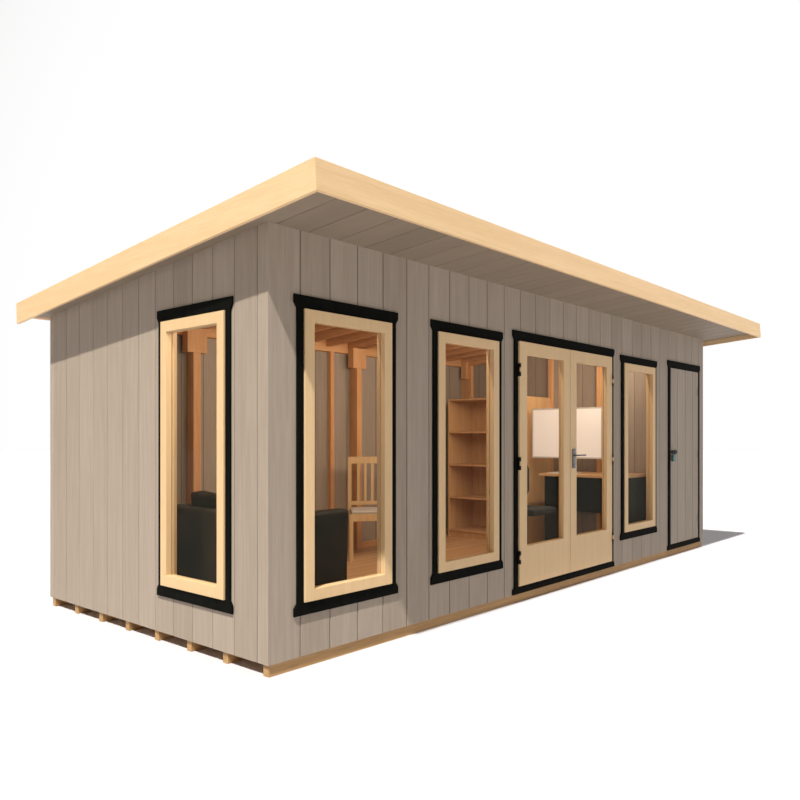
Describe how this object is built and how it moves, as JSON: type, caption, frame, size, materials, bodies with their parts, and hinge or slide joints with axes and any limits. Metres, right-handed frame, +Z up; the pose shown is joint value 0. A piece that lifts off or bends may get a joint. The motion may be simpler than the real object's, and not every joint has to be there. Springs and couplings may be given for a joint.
{
  "type": "garden room",
  "caption": "Timber garden room with vertical boarding, a mono-pitch roof with a deep front overhang, tall windows, glazed double doors and a boarded store door.",
  "frame": {"origin": "middle of the bounding box of the whole building, on the ground under the bearers", "axes": "+X along the front to the right as seen from outside, +Y from the front to the back, +Z up"},
  "size_m": [5.776, 3.1342, 2.3096],
  "materials": {
    "bearer_timber": "sawn softwood",
    "floor_timber": "planed softwood boards",
    "painted_boards": "warm grey paint on grooved boards",
    "soffit_boards": "warm grey paint on grooved boards",
    "frame_timber": "planed softwood",
    "roof_timber": "sawn softwood boards",
    "roof_covering": "matt sheet",
    "fascia_timber": "pale planed softwood",
    "cream_joinery": "pale planed softwood",
    "clear_glass": "clear",
    "dark_trim": "near-black paint",
    "hinge_metal": "black enamel",
    "handle_metal": "gunmetal",
    "black_metal": "black enamel",
    "padlock_metal": "blue-grey lacquered body",
    "furniture_timber": "planed pine",
    "pale_fabric": "plain woven",
    "sofa_fabric": "dark brown hide",
    "white_plastic": "satin white",
    "screen_surface": "blank pale face",
    "black_plastic": "moulded",
    "dark_fabric": "woven"
  },
  "bodies": {
    "root": {"back_fascia": "fascia_timber", "back_wall": "painted_boards", "cross_wall_plates": "frame_timber", "cross_wall_studs": "frame_timber", "desk": "furniture_timber", "desk_chair_cushions": "dark_fabric", "desk_chair_frame": "black_plastic", "dining_chair": "cream_joinery", "dining_chair_pad": "pale_fabric", "door_trim": "dark_trim", "double_door_lining": "dark_trim", "end_window_frame": "cream_joinery", "floor_bearers": "bearer_timber", "floor_deck": "floor_timber", "front_fascia": "fascia_timber", "front_wall_end": "painted_boards", "front_wall_left": "painted_boards", "front_wall_over_doors": "painted_boards", "front_wall_over_store_door": "painted_boards", "front_wall_right": "painted_boards", "jamb_hinge_flaps": "hinge_metal", "left_wall": "painted_boards", "left_window_frame": "cream_joinery", "long_wall_plates": "frame_timber", "long_wall_studs": "frame_timber", "outer_window_frame": "cream_joinery", "partition_lining": "painted_boards", "right_wall": "painted_boards", "right_window_frame": "cream_joinery", "roof_deck": "roof_timber", "roof_joists": "frame_timber", "roof_membrane": "roof_covering", "roof_posts": "frame_timber", "roof_soffit": "soffit_boards", "roof_trimmers": "frame_timber", "screen_case": "white_plastic", "screen_panel": "screen_surface", "shelf_unit": "furniture_timber", "side_fascias": "fascia_timber", "sofa_cushions": "sofa_fabric", "sofa_frame": "sofa_fabric", "store_door_lining": "dark_trim", "window_glass": "clear_glass", "window_trim": "dark_trim"},
    "left_door": {"left_door_leaf": "cream_joinery", "left_door_glass": "clear_glass", "left_door_hinges": "hinge_metal"},
    "right_door": {"right_door_leaf": "cream_joinery", "right_door_glass": "clear_glass", "right_door_hinges": "hinge_metal", "door_handle_plates": "handle_metal"},
    "lever": {"door_lever": "handle_metal"},
    "store_door": {"store_door_boards": "painted_boards", "store_door_ledges": "frame_timber", "store_door_hinges": "hinge_metal", "hasp": "black_metal", "padlock": "padlock_metal"}
  },
  "joints": [
    {"name": "left_door_swing", "type": "hinge", "parent": "root", "child": "left_door", "pos_m": [-0.675, -1.0509, 1], "axis": [0, 0, -1], "range_deg": [0, 110]},
    {"name": "right_door_swing", "type": "hinge", "parent": "root", "child": "right_door", "pos_m": [0.675, -1.0509, 1], "axis": [0, 0, 1], "range_deg": [0, 110]},
    {"name": "store_door_swing", "type": "hinge", "parent": "root", "child": "store_door", "pos_m": [2.564, -1.0409, 1], "axis": [0, 0, 1], "range_deg": [0, 110]},
    {"name": "lever_turn", "type": "hinge", "parent": "right_door", "child": "lever", "pos_m": [0.0485, -1.0219, 1.01], "axis": [0, 1, 0], "range_deg": [0, 40], "stiffness_Nm_per_rad": 1.2, "springref_deg": -11.46}
  ]
}
